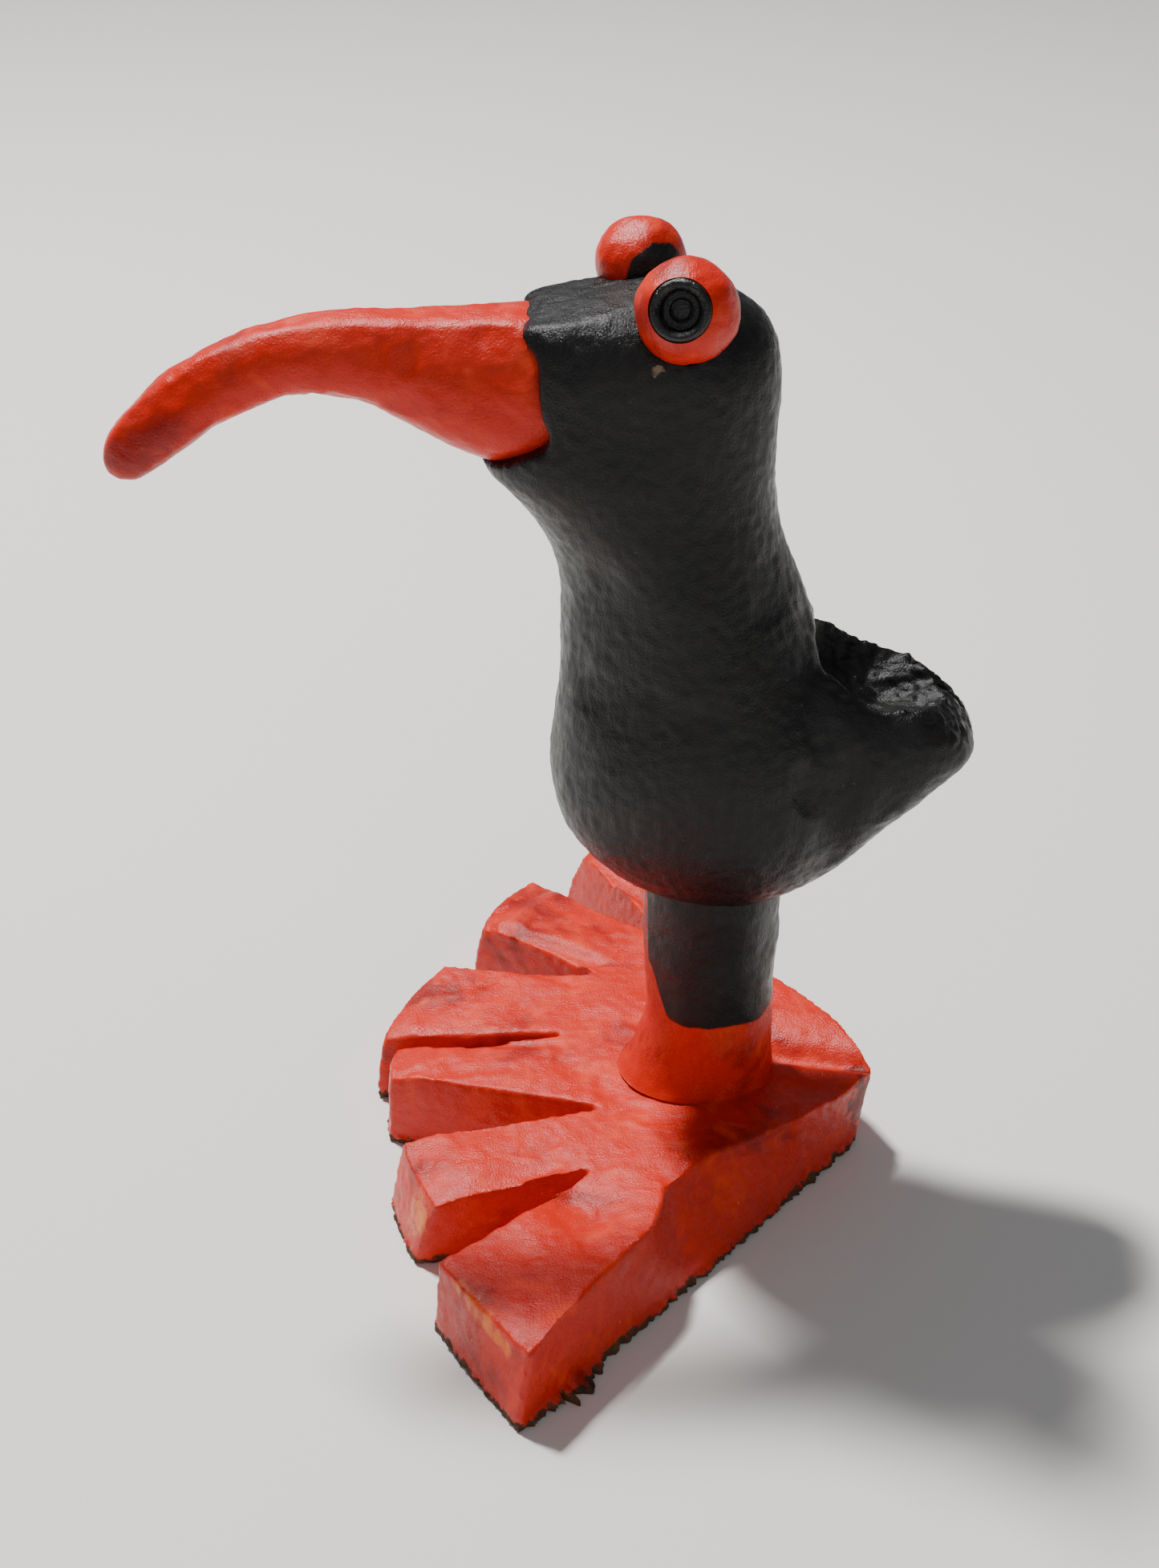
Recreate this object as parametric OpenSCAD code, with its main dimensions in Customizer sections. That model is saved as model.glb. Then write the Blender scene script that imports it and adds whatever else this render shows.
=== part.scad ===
// Carved and painted wooden bird on one leg post and one webbed foot.
// +Z is up, the bird faces -Y and its left side is +X.
// The origin is on the axis of the leg, at the underside of the foot.

/* [Foot] */
// Distance from the heel to the ends of the toes
foot_reach = 71; // [64:1:78]
// Thickness of the foot at the toes
foot_thick = 12; // [10:0.5:14]
// How far the heel lies behind the axis of the leg
heel_back = 23; // [20:1:28]
// Depth of the socket that holds the leg
foot_socket = 8; // [4:0.5:8]

/* [Leg] */
// Diameter of the leg where it enters the body
leg_top_d = 18.6; // [15:0.1:19]
// Diameter of the leg just above the foot
leg_low_d = 17.8; // [14:0.1:18]
// How far the leg reaches into the body
leg_tenon = 16; // [10:1:20]

/* [Body] */
// Height of the underside of the belly
belly_z = 43.4; // [40:0.1:50]
// Half of the greatest width of the belly
belly_half_w = 17.2; // [15:0.1:19]
// Half of the width of the tail
tail_half_w = 10.5; // [8:0.5:12]
// Radius of the hollow cut in the top of the tail
tail_cup_r = 10; // [8:0.5:11]

/* [Beak] */
// Half of the width of the beak at its base
beak_half_w = 8; // [6.5:0.5:8.5]
// How far the tip of the beak drifts to the bird's left
beak_drift = 3; // [-4:1:4]
// Diameter of the tenon that plugs the beak into the head
beak_tenon_d = 8; // [6:0.5:9]
// Length of that tenon
beak_tenon = 11; // [8:1:13]

/* [Eyes] */
// Diameter of the left eye ball
left_eye_d = 12.2; // [11:0.1:12.6]
// Diameter of the right eye ball
right_eye_d = 11.4; // [11:0.1:12.6]
// Outer diameter of the black ring round the pupil
ring_d = 7.2; // [6.6:0.1:7.6]
// Diameter of the hole through the ring
ring_hole_d = 4.2; // [3.8:0.1:4.6]
// Diameter of the pin that holds the eye
pin_d = 2; // [1.6:0.1:2.4]

/* [Hidden] */
$fn = 48;
glue_gap = 0.05;

// Foot: angles are measured at the heel, from straight ahead towards the bird's left
heel = [0, heel_back];
toe_from = [34, 13, -6, -23, -47, -65];
toe_to = [50, 24, 0, -8, -34, -56];
toe_reach = [1.06, 0.98, 0.99, 1.02, 1.02, 1.06];
toe_end_lean = 18;
toe_lip = 1.2;
groove_apex = [46, 40, 38, 47, 47];
groove_angle = [29, 14, -13, -31, -50];
crown_z = foot_thick + 1.5;
socket_z = crown_z - foot_socket;
top_fall = 2.2;
wall_z = 4;
wall_lean = 25;

// Leg
leg_z0 = socket_z;
leg_z1 = belly_z + leg_tenon;
flare_h = 6;
flare_w = 1.2;

// Body sections: height, front, back, half width
sections = [
    [belly_z, -3.5, 6.5, 3],
    [belly_z + 1, -7.5, 9.5, 6.5],
    [belly_z + 2.8, -11.8, 13, 9.6],
    [belly_z + 6, -16, 16.6, 12.9],
    [belly_z + 10.3, -19.6, 18.8, 15.2],
    [belly_z + 14.5, -21.7, 19.8, 16.6],
    [belly_z + 20, -22.7, 20, belly_half_w],
    [belly_z + 26.5, -22.3, 18, 16.8],
    [belly_z + 32.5, -21.2, 15.5, 15.9],
    [belly_z + 39, -20.9, 12.6, 14.8],
    [belly_z + 45.5, -21.2, 10, 13.7],
    [belly_z + 50.5, -22.3, 8, 13.1],
    [belly_z + 54.5, -24.4, 6.8, 12.9],
    [belly_z + 58.8, -27.6, 6, 12.8],
    [belly_z + 62.1, -30, 6, 12.8],
    [belly_z + 66.5, -30.3, 6.1, 12.6],
    [belly_z + 71.5, -29, 6.3, 12.3],
    [belly_z + 76.5, -27.5, 5.8, 11.8],
    [belly_z + 80.1, -25.8, 4.2, 10.3],
    [belly_z + 82, -24, 2, 8],
    [belly_z + 83, -20, -2, 5]
];
section_sides = 28;
section_steps = 2;
seat_y = -23;
seat_z = belly_z + 62.1;

// Tail sections: distance behind the leg, underside, top, half width as a share
tail_sections = [
    [1, 46.2, 80, 1.15],
    [8, 45.2, 81, 1.2],
    [14, 46, 79.6, 1.18],
    [20, 50, 76.8, 1.08],
    [25, 54.3, 75, 0.97],
    [29, 58, 72.8, 0.82],
    [31.8, 61.2, 70.4, 0.6],
    [33.4, 64, 67.9, 0.3]
];
tail_sides = 24;
cup_y = 21;
cup_z = 79.6;

// Beak sections: y, middle height, half height, half width as a share of the base, slope in degrees
beak_line = [
    [seat_y, 115.8, 9.5, 1, 0],
    [-30, 115.5, 8.8, 0.88, 2],
    [-37.5, 117.2, 6.6, 0.72, 8],
    [-43.8, 118.7, 5.1, 0.62, 4],
    [-50.4, 118.9, 4.5, 0.57, -8],
    [-56.1, 117.8, 4.3, 0.55, -20],
    [-62.2, 115.3, 4.2, 0.54, -31],
    [-67.6, 111.7, 4.1, 0.52, -43],
    [-71.7, 108, 3.5, 0.46, -52],
    [-73.9, 105.2, 2, 0.28, -60]
];
beak_sides = 24;
beak_axis_z = 116;

// Eyes: centre of each ball, and the way it looks as azimuth and elevation
left_eye = [9.4, -5.7, 127.2];
right_eye = [-9.4, -10.6, 127];
left_look = [-14, 20];
right_look = [194, 20];
ring_deep = 1.5;
ring_proud = 0.35;
pin_head_d = 3;
pin_head_h = 0.8;
pin_length = 13;

function catmull(a, b, c, d, t) =
    0.5 * (2 * b + (c - a) * t + (2 * a - 5 * b + 4 * c - d) * t * t + (3 * b - a - 3 * c + d) * t * t * t);
function smooth(list, i, t) =
    catmull(list[max(i - 1, 0)], list[i], list[i + 1], list[min(i + 2, len(list) - 1)], t);
function resample(list, steps) = concat(
    [for (i = [0:len(list) - 2]) for (k = [0:steps - 1]) smooth(list, i, k / steps)],
    [list[len(list) - 1]]
);
// Swells a circle's sine or cosine towards a square
function full(v) = sign(v) * pow(abs(v), 0.8);
function polar(r, a) = heel + r * [sin(a), -cos(a)];

// One horizontal section of the body
function body_ring(s) = [for (k = [0:section_sides - 1])
    let (a = 360 * k / section_sides)
    [s[3] * cos(a), (s[1] + s[2]) / 2 + (s[2] - s[1]) / 2 * sin(a), s[0]]];

// One upright section of the tail
function tail_ring(s) = [for (k = [0:tail_sides - 1])
    let (a = -360 * k / tail_sides)
    [tail_half_w * s[3] * full(cos(a)), s[0], (s[1] + s[2]) / 2 + (s[2] - s[1]) / 2 * full(sin(a))]];

// One section of the beak, square to its slope
function beak_ring(s) = [for (k = [0:beak_sides - 1])
    let (a = 360 * k / beak_sides,
        drift = beak_drift * pow((seat_y - s[0]) / 50, 2),
        up = s[2] * sin(a))
    [drift + beak_half_w * s[3] * cos(a), s[0] + up * sin(s[4]), s[1] + up * cos(s[4])]];

// Closed skin over a list of rings
module skin(rings) {
    n = len(rings[0]);
    last = len(rings) - 1;
    polyhedron(
        points = [for (ring = rings) each ring],
        faces = concat(
            [[for (k = [0:n - 1]) k]],
            [for (j = [0:last - 1]) for (k = [0:n - 1])
                [j * n + k, (j + 1) * n + k, (j + 1) * n + (k + 1) % n]],
            [for (j = [0:last - 1]) for (k = [0:n - 1])
                [j * n + k, (j + 1) * n + (k + 1) % n, j * n + (k + 1) % n]],
            [[for (k = [0:n - 1]) last * n + n - 1 - k]]
        ),
        convexity = 6
    );
}

// Puts its children at an eye, with +Z along the way the eye looks
module at_eye(centre, look) {
    translate(centre) rotate([0, 0, look[0]]) rotate([0, 90 - look[1], 0]) children();
}

module body() {
    color("#1d1b1a") difference() {
        union() {
            skin([for (s = resample(sections, section_steps)) body_ring(s)]);
            skin([for (s = resample(tail_sections, section_steps)) tail_ring(s)]);
        }
        // cupped top of the tail
        translate([0, cup_y, cup_z]) sphere(r = tail_cup_r, $fn = 64);
        // hole for the leg
        translate([0, 0, belly_z - 5]) cylinder(d = leg_top_d + 2 * glue_gap, h = leg_tenon + 5);
        // flat seat and hole for the beak
        translate([-20, seat_y - 20, seat_z]) cube([40, 20, 40]);
        translate([0, seat_y - 1, beak_axis_z]) rotate([-90, 0, 0])
            cylinder(d = beak_tenon_d + 2 * glue_gap, h = beak_tenon + 1);
        // hollows and pin holes for the eyes
        at_eye(left_eye, left_look) eye_hollow(left_eye_d);
        at_eye(right_eye, right_look) eye_hollow(right_eye_d);
    }
}

module eye_hollow(ball_d) {
    sphere(d = ball_d + 2 * glue_gap);
    translate([0, 0, -pin_length + 3]) cylinder(d = pin_d + 2 * glue_gap, h = pin_length);
}

module beak() {
    color("#c8321f") union() {
        skin([for (s = resample(beak_line, 2)) beak_ring(s)]);
        translate([0, seat_y - 2, beak_axis_z]) rotate([-90, 0, 0])
            cylinder(d = beak_tenon_d, h = beak_tenon + 2);
    }
}

// Ball with a seat for the ring and a hole for the pin
module eye_ball(ball_d) {
    color("#c8321f") difference() {
        sphere(d = ball_d);
        translate([0, 0, ring_floor(ball_d)]) cylinder(d = ring_d + 2 * glue_gap, h = ball_d);
        translate([0, 0, ring_floor(ball_d) - pin_head_h]) cylinder(d = pin_head_d + 2 * glue_gap, h = ball_d);
        translate([0, 0, -ball_d]) cylinder(d = pin_d + 2 * glue_gap, h = 2 * ball_d);
    }
}
// Height above the ball's centre at which the ring sits
function ring_floor(ball_d) = sqrt(pow(ball_d / 2, 2) - pow(ring_d / 2, 2)) + ring_proud - ring_deep;

module pupil_ring(ball_d) {
    wall = (ring_d - ring_hole_d) / 2;
    color("#111111") translate([0, 0, ring_floor(ball_d)]) rotate_extrude() {
        translate([ring_hole_d / 2, 0]) square([wall, ring_deep - wall / 2]);
        translate([(ring_d + ring_hole_d) / 4, ring_deep - wall / 2]) circle(d = wall, $fn = 24);
    }
}

module eye_pin(ball_d) {
    color("#2a2826") translate([0, 0, ring_floor(ball_d)]) difference() {
        union() {
            translate([0, 0, -pin_head_h]) cylinder(d = pin_head_d, h = pin_head_h);
            translate([0, 0, -pin_length + 1]) cylinder(d = pin_d, h = pin_length - 1);
        }
        sphere(d = pin_head_d * 0.4, $fn = 24);
    }
}

module left_eye_ball() {
    at_eye(left_eye, left_look) eye_ball(left_eye_d);
}

module right_eye_ball() {
    at_eye(right_eye, right_look) eye_ball(right_eye_d);
}

module left_pupil_ring() {
    at_eye(left_eye, left_look) pupil_ring(left_eye_d);
}

module right_pupil_ring() {
    at_eye(right_eye, right_look) pupil_ring(right_eye_d);
}

module left_eye_pin() {
    at_eye(left_eye, left_look) eye_pin(left_eye_d);
}

module right_eye_pin() {
    at_eye(right_eye, right_look) eye_pin(right_eye_d);
}

// Round post, a little thicker at the top, with a flare where it meets the foot
module leg() {
    color("#2b1512") rotate_extrude($fn = 64) polygon([
        [0, leg_z0],
        [leg_low_d / 2, leg_z0],
        [leg_low_d / 2, crown_z],
        [leg_low_d / 2 + flare_w, crown_z],
        [leg_low_d / 2 + flare_w * 0.35, crown_z + flare_h * 0.35],
        [leg_low_d / 2, crown_z + flare_h],
        [leg_top_d / 2, belly_z - 2],
        [leg_top_d / 2, leg_z1],
        [0, leg_z1]
    ]);
}

// Outline of the foot: the heel, then each toe from the left to the right
module fan_outline() {
    polygon(concat(
        [heel + [1.5, 0]],
        [for (i = [0:len(toe_from) - 1])
            each [polar(foot_reach * toe_reach[i], toe_to[i]), polar(foot_reach * toe_reach[i], toe_from[i])]],
        [heel + [-1.5, 0]]
    ));
}

// Wedge cut right through the foot between toe i and the next
module groove(i) {
    translate([0, 0, -1]) linear_extrude(height = crown_z + 2) polygon([
        polar(groove_apex[i], groove_angle[i]),
        polar(foot_reach * 1.15, toe_from[i]),
        polar(foot_reach * 1.15, toe_to[i + 1])
    ]);
}

// Cut that makes the end of toe i lean inwards
module toe_end_cut(i) {
    half = (toe_to[i] - toe_from[i]) / 2;
    reach = foot_reach * toe_reach[i];
    width = 2 * (reach * sin(half) + 0.8);
    translate(heel) rotate([0, 0, toe_to[i] - half - 90])
        translate([reach * cos(half), -width / 2, toe_lip]) rotate([0, -toe_end_lean, 0]) cube([20, width, 30]);
}

// Cut that makes a side wall lean inwards; side is 1 on the left and -1 on the right
module wall_cut(angle, side) {
    translate(heel) rotate([0, 0, angle - 90]) mirror([0, side < 0 ? 1 : 0, 0])
        translate([-15, 0, wall_z]) rotate([wall_lean, 0, 0]) translate([0, 0, -crown_z])
            cube([foot_reach + 40, 20, 3 * crown_z]);
}

module foot() {
    color("#c8321f") difference() {
        linear_extrude(height = crown_z) fan_outline();
        for (i = [0:len(groove_apex) - 1]) groove(i);
        // the top falls towards the toes
        translate([-100, 0, crown_z]) rotate([top_fall, 0, 0]) translate([0, -100, 0]) cube([200, 100, 20]);
        for (i = [1:len(toe_from) - 1]) toe_end_cut(i);
        wall_cut(toe_to[0], 1);
        wall_cut(toe_from[5], -1);
        // socket for the leg
        translate([0, 0, socket_z]) cylinder(d = leg_low_d + 2 * glue_gap, h = foot_thick, $fn = 64);
    }
}

body();
beak();
left_eye_ball();
right_eye_ball();
left_pupil_ring();
right_pupil_ring();
left_eye_pin();
right_eye_pin();
leg();
foot();
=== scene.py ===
import bpy
import bmesh
import math
from mathutils import Matrix, Vector, kdtree, noise


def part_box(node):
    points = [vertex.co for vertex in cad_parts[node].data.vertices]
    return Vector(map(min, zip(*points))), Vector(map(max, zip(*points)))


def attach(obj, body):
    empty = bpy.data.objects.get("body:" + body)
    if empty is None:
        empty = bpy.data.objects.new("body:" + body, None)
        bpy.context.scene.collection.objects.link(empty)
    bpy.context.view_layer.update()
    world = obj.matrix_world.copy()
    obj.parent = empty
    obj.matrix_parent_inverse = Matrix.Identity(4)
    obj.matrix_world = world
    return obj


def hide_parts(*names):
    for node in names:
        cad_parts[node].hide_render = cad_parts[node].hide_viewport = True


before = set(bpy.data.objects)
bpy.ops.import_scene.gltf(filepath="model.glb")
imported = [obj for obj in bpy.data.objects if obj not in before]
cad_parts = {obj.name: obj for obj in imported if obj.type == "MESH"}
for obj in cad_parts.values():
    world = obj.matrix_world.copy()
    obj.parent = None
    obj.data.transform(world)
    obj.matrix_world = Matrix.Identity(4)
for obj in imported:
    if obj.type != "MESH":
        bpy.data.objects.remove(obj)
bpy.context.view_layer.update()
mm = 0.001

# where the figure stands, all taken from the frame, heights in millimetres
bodyHeight = 83          # from the belly to the top of the head
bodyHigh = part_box("body")[1]
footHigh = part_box("foot")[1]
legLow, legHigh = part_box("leg")
legX = (legLow.x + legHigh.x) / 2
legY = (legLow.y + legHigh.y) / 2
headZ = bodyHigh.z / mm
bellyZ = headZ - bodyHeight
crownZ = footHigh.z / mm
heelY = (footHigh.y - legY) / mm
socketZ = legLow.z / mm
legTopZ = legHigh.z / mm
print("frame loaded, figure", round(headZ), "mm to the top of the head")


def place(x, y, z):
    # millimetres left of the leg, behind the leg and over the table
    return Vector((legX + x * mm, legY + y * mm, z * mm))


def away(point):
    # the other way round: the millimetres of a point in the scene
    return (point.x - legX) / mm, (point.y - legY) / mm, point.z / mm


def smoothStep(low, high, value):
    t = min(max((value - low) / (high - low), 0), 1)
    return t * t * (3 - 2 * t)


def blend(a, b, t):
    return a + (b - a) * t


def swell(value, power):
    # under 1 makes a round outline boxier, over 1 more pointed
    return math.copysign(abs(value) ** power, value)


def turns(steps):
    # angles once round
    return [2 * math.pi * k / steps for k in range(steps)]


def catmull(a, b, c, d, t):
    # point on a smooth curve between b and c
    out = []
    for p, q, r, s in zip(a, b, c, d):
        square = 2 * p - 5 * q + 4 * r - s
        cube = 3 * q - p - 3 * r + s
        out.append(0.5 * (2 * q + (r - p) * t + square * t * t + cube * t ** 3))
    return out


def resample(rows, steps):
    # smooth curve through rows of numbers
    out = []
    last = len(rows) - 1
    for i in range(last):
        around = [rows[max(i - 1, 0)], rows[i], rows[i + 1], rows[min(i + 2, last)]]
        for k in range(steps):
            out.append(catmull(*around, k / steps))
    out.append(list(rows[last]))
    return out


def lookUp(rows, value):
    # straight lines between rows of (position, amount)
    for (x0, y0), (x1, y1) in zip(rows, rows[1:]):
        if value <= x1:
            return blend(y0, y1, min(max((value - x0) / (x1 - x0), 0), 1))
    return rows[-1][1]


def meshObject(name, verts, faces):
    mesh = bpy.data.meshes.new(name)
    mesh.from_pydata(verts, [], faces)
    mesh.update()
    obj = bpy.data.objects.new(name, mesh)
    bpy.context.scene.collection.objects.link(obj)
    return obj


def turnOut(obj):
    # all faces look outwards
    bm = bmesh.new()
    bm.from_mesh(obj.data)
    bmesh.ops.recalc_face_normals(bm, faces=bm.faces)
    bm.to_mesh(obj.data)
    bm.free()


def loft(name, rings):
    # closed skin over rings of the same number of points
    n = len(rings[0])
    verts = [v for ring in rings for v in ring]
    faces = []
    for j in range(len(rings) - 1):
        for k in range(n):
            faces.append((j * n + k, j * n + (k + 1) % n, (j + 1) * n + (k + 1) % n, (j + 1) * n + k))
    for j, order in ((0, -1), (len(rings) - 1, 1)):
        faces.append(tuple(j * n + k for k in range(n))[::order])
    obj = meshObject(name, verts, faces)
    turnOut(obj)
    return obj


def lathe(name, profile, steps, matrix=None):
    # rings of (radius, height) about an axis, closed at both ends; about the leg's axis if no matrix is given
    if matrix is None:
        matrix = Matrix.Translation(place(0, 0, 0))
    rings = []
    for r, z in profile:
        rings.append([matrix @ Vector((r * mm * math.cos(a), r * mm * math.sin(a), z * mm))
                      for a in turns(steps)])
    return loft(name, rings)


def bake(obj):
    # keep the mesh that the modifiers give
    deps = bpy.context.evaluated_depsgraph_get()
    mesh = bpy.data.meshes.new_from_object(obj.evaluated_get(deps))
    old = obj.data
    obj.modifiers.clear()
    obj.data = mesh
    bpy.data.meshes.remove(old)


def modify(obj, kind, **settings):
    mod = obj.modifiers.new(kind, kind)
    for key, value in settings.items():
        setattr(mod, key, value)
    bake(obj)


def join(obj, others):
    # put other meshes into this one
    bm = bmesh.new()
    bm.from_mesh(obj.data)
    for other in others:
        bm.from_mesh(other.data)
        bpy.data.objects.remove(other)
    bm.to_mesh(obj.data)
    bm.free()


def cut(obj, tool):
    # take the tool's shape out of the piece
    mod = obj.modifiers.new("cut", "BOOLEAN")
    mod.operation = "DIFFERENCE"
    mod.solver = "MANIFOLD"
    mod.object = tool
    bake(obj)
    bpy.data.objects.remove(tool)


def roughen(obj, size, depth, seed, stretch=(1, 1, 1), where=None):
    # push the surface in and out by smooth noise, sizes in millimetres
    mesh = obj.data
    shift = Vector((seed * 3.1, seed * 1.7, seed * 2.3))
    normals = [v.normal.copy() for v in mesh.vertices]
    for v, n in zip(mesh.vertices, normals):
        sample = Vector((v.co.x / stretch[0], v.co.y / stretch[1], v.co.z / stretch[2])) / (size * mm)
        amount = noise.noise(sample + shift) * depth * mm
        if where:
            amount *= where(*away(v.co))
        v.co += n * amount
    mesh.update()


def whittle(obj, count, radius, depth, seed, onTop=False):
    # shallow flat knife cuts scattered over the surface
    mesh = obj.data
    normals = [v.normal.copy() for v in mesh.vertices]
    tree = kdtree.KDTree(len(mesh.vertices))
    for i, v in enumerate(mesh.vertices):
        tree.insert(v.co, i)
    tree.balance()
    noise.seed_set(seed)
    total = len(mesh.vertices)
    for _ in range(count):
        middle = int(noise.random() * (total - 1))
        n = (normals[middle] + noise.random_unit_vector() * 0.1).normalized()
        if onTop and n.z < 0.9:
            continue
        level = mesh.vertices[middle].co - n * depth * mm
        for _, i, dist in tree.find_range(level, radius * mm):
            v = mesh.vertices[i]
            over = (v.co - level).dot(n)
            if over > 0 and normals[i].dot(n) > 0.75:
                v.co -= n * over * (1 - (dist / (radius * mm)) ** 4)
    mesh.update()


def flatten(obj, point, normal, keep=0.1):
    # press whatever stands over a plane down onto it
    n = Vector(normal).normalized()
    for v in obj.data.vertices:
        over = (v.co - point).dot(n)
        if over > 0:
            v.co -= n * over * (1 - keep)
    obj.data.update()


def finishPiece(obj, material, node, angle=None):
    # edges sharper than the angle stay crisp
    mesh = obj.data
    mesh.materials.clear()
    mesh.materials.append(material)
    for face in mesh.polygons:
        face.use_smooth = True
    if angle:
        mesh.set_sharp_from_angle(angle=math.radians(angle))
    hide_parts(node)
    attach(obj, "root")
    print("made", obj.name, len(mesh.polygons), "faces")


def addNode(tree, kind, inputs=None, **settings):
    node = tree.nodes.new("ShaderNode" + kind)
    for key, value in settings.items():
        setattr(node, key, value)
    for key, value in (inputs or {}).items():
        if isinstance(value, bpy.types.NodeSocket):
            tree.links.new(value, node.inputs[key])
        else:
            node.inputs[key].default_value = value
    return node


def scaled(tree, coords, stretch):
    # a small number draws the pattern out along that axis
    return addNode(tree, "Mapping", {"Vector": coords, "Scale": stretch}).outputs["Vector"]


def grain(tree, coords, size, detail=3, rough=0.55, bend=0):
    # noise whose features measure about so many millimetres
    return addNode(tree, "TexNoise", {"Vector": coords, "Scale": 1 / (size * mm), "Detail": detail,
                                      "Roughness": rough, "Distortion": bend}).outputs["Fac"]


def between(tree, value, low, high, toLow=0.0, toHigh=1.0):
    # eased step from one level to another
    node = addNode(tree, "MapRange", {"Value": value, "From Min": low, "From Max": high,
                                      "To Min": toLow, "To Max": toHigh}, interpolation_type="SMOOTHSTEP")
    return node.outputs["Result"]


def sums(tree, a, b, kind="ADD"):
    return addNode(tree, "Math", {0: a, 1: b}, operation=kind).outputs["Value"]


def mix(tree, mask, a, b, kind):
    # one Mix node; its sockets are told apart by the kind in their names
    node = addNode(tree, "Mix", data_type="RGBA" if kind == "Color" else "FLOAT")
    for name, value in (("Factor_Float", mask), ("A_" + kind, a), ("B_" + kind, b)):
        socket = next(i for i in node.inputs if i.identifier == name)
        if isinstance(value, bpy.types.NodeSocket):
            tree.links.new(value, socket)
        else:
            socket.default_value = (*value, 1) if isinstance(value, tuple) else value
    return next(o for o in node.outputs if o.identifier == "Result_" + kind)


def mixColour(tree, mask, a, b):
    return mix(tree, mask, a, b, "Color")


def mixValue(tree, mask, a, b):
    return mix(tree, mask, a, b, "Float")


def spot(tree, coords, centre, radius, ragged=0.4, strength=1.0, soft=0.35):
    # mask of a round patch: its edge wanders by ragged, a share of the radius, and is soft mm wide
    far = addNode(tree, "VectorMath", {0: coords, 1: tuple(centre)}, operation="DISTANCE").outputs["Value"]
    wander = ragged * radius * mm
    wobble = between(tree, grain(tree, coords, 1.6), 0.3, 0.7, -wander, wander)
    return between(tree, sums(tree, far, wobble), radius * mm, (radius - soft) * mm, 0.0, strength)


# acrylic paints and bare wood: four shades and a speck, range of roughness, height of the bumps in mm
# red: the deep shade is a painted shade copy and the warm one a painted sunlit copy of the paint; the pale
# pinkish shade is a painted sheen
redLook = {
    "deep": (0.30, 0.004, 0.001), "base": (0.62, 0.014, 0.002), "warm": (0.86, 0.05, 0.004),
    "dust_and_sheen": (0.66, 0.035, 0.008), "speck": (0.85, 0.16, 0.05), "shine": (0.24, 0.44), "bump": 0.14,
}
# black: the warm brown shade is a painted warm reflected light and the pale bluish shade a painted sky
# reflection
blackLook = {
    "deep": (0.0015, 0.0012, 0.001), "base": (0.0038, 0.0034, 0.003), "warm": (0.011, 0.006, 0.003),
    "dust_and_sheen": (0.010, 0.0105, 0.011), "speck": (0.03, 0.027, 0.022), "shine": (0.24, 0.44), "bump": 0.17,
}
woodLook = {
    "deep": (0.10, 0.035, 0.012), "base": (0.30, 0.13, 0.045), "warm": (0.45, 0.24, 0.09),
    "dust_and_sheen": (0.2, 0.12, 0.06), "speck": (0.5, 0.35, 0.2), "shine": (0.6, 0.85), "bump": 0.12,
}
# bare wood of the underside, made darker than the wood so that the band under the near wall is also a painted
# contact shadow
soleWoodAndShadowLook = dict(woodLook, deep=(0.02, 0.008, 0.004), base=(0.09, 0.034, 0.014), warm=(0.24, 0.10, 0.04))
stainLook = dict(woodLook, deep=(0.55, 0.04, 0.004), base=(0.8, 0.14, 0.008), warm=(0.9, 0.3, 0.03),
                 shine=(0.2, 0.4), bump=0.08)
creamLook = dict(woodLook, deep=(0.16, 0.11, 0.07), base=(0.3, 0.22, 0.14), warm=(0.42, 0.33, 0.2),
                 shine=(0.5, 0.7))
pupilLook = dict(blackLook, shine=(0.12, 0.3), speck=blackLook["dust_and_sheen"])
wineLook = dict(redLook, deep=(0.06, 0.002, 0.001), base=(0.17, 0.004, 0.002), warm=(0.3, 0.01, 0.003),
                dust_and_sheen=(0.2, 0.006, 0.003), speck=(0.3, 0.02, 0.01), shine=(0.3, 0.5))


# size of each pattern in the paint, in millimetres
coatGrain = {"broad": 14, "brush": 1.3, "dabs": 4.5, "fine": 0.33, "specks": 5.5}


def coat(tree, coords, look, along=(1, 1, 0.22)):
    # one layer of paint or wood: its colour, roughness and height; along sets the way the brush went
    broad = grain(tree, coords, coatGrain["broad"], 3, 0.6, 0.4)
    brush = grain(tree, scaled(tree, coords, along), coatGrain["brush"], 4, 0.65, 0.3)
    dabs = grain(tree, coords, coatGrain["dabs"], 3, 0.5, 0.8)
    fine = grain(tree, coords, coatGrain["fine"], 3, 0.7)
    # random mottle of the shades; in the red and black paints it scatters painted shade, painted sunlight and
    # painted reflection
    colour = mixColour(tree, between(tree, broad, 0.36, 0.66), look["deep"], look["base"])
    colour = mixColour(tree, between(tree, broad, 0.3, 0.5), colour, look["base"])
    colour = mixColour(tree, between(tree, dabs, 0.5, 0.78, 0, 0.65), colour, look["warm"])
    colour = mixColour(tree, between(tree, brush, 0.5, 0.8, 0, 0.45), colour, look["deep"])
    # pale patches; on the red and black paints a painted sheen
    colour = mixColour(tree, between(tree, brush, 0.42, 0.2, 0, 0.5), colour, look["dust_and_sheen"])
    cells = addNode(tree, "TexVoronoi", {"Vector": coords, "Scale": 1 / (coatGrain["specks"] * mm)})
    colour = mixColour(tree, between(tree, cells.outputs["Distance"], 0.04, 0.025), colour, look["speck"])
    shine = between(tree, sums(tree, brush, dabs), 0.75, 1.25, *look["shine"])
    relief = sums(tree, fine, sums(tree, brush, 0.9, "MULTIPLY"))
    return colour, shine, sums(tree, relief, look["bump"], "MULTIPLY")


def layered(tree, mask, under, over):
    # one coat over another where the mask says
    return (mixColour(tree, mask, under[0], over[0]), mixValue(tree, mask, under[1], over[1]),
            mixValue(tree, mask, under[2], over[2]))


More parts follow.
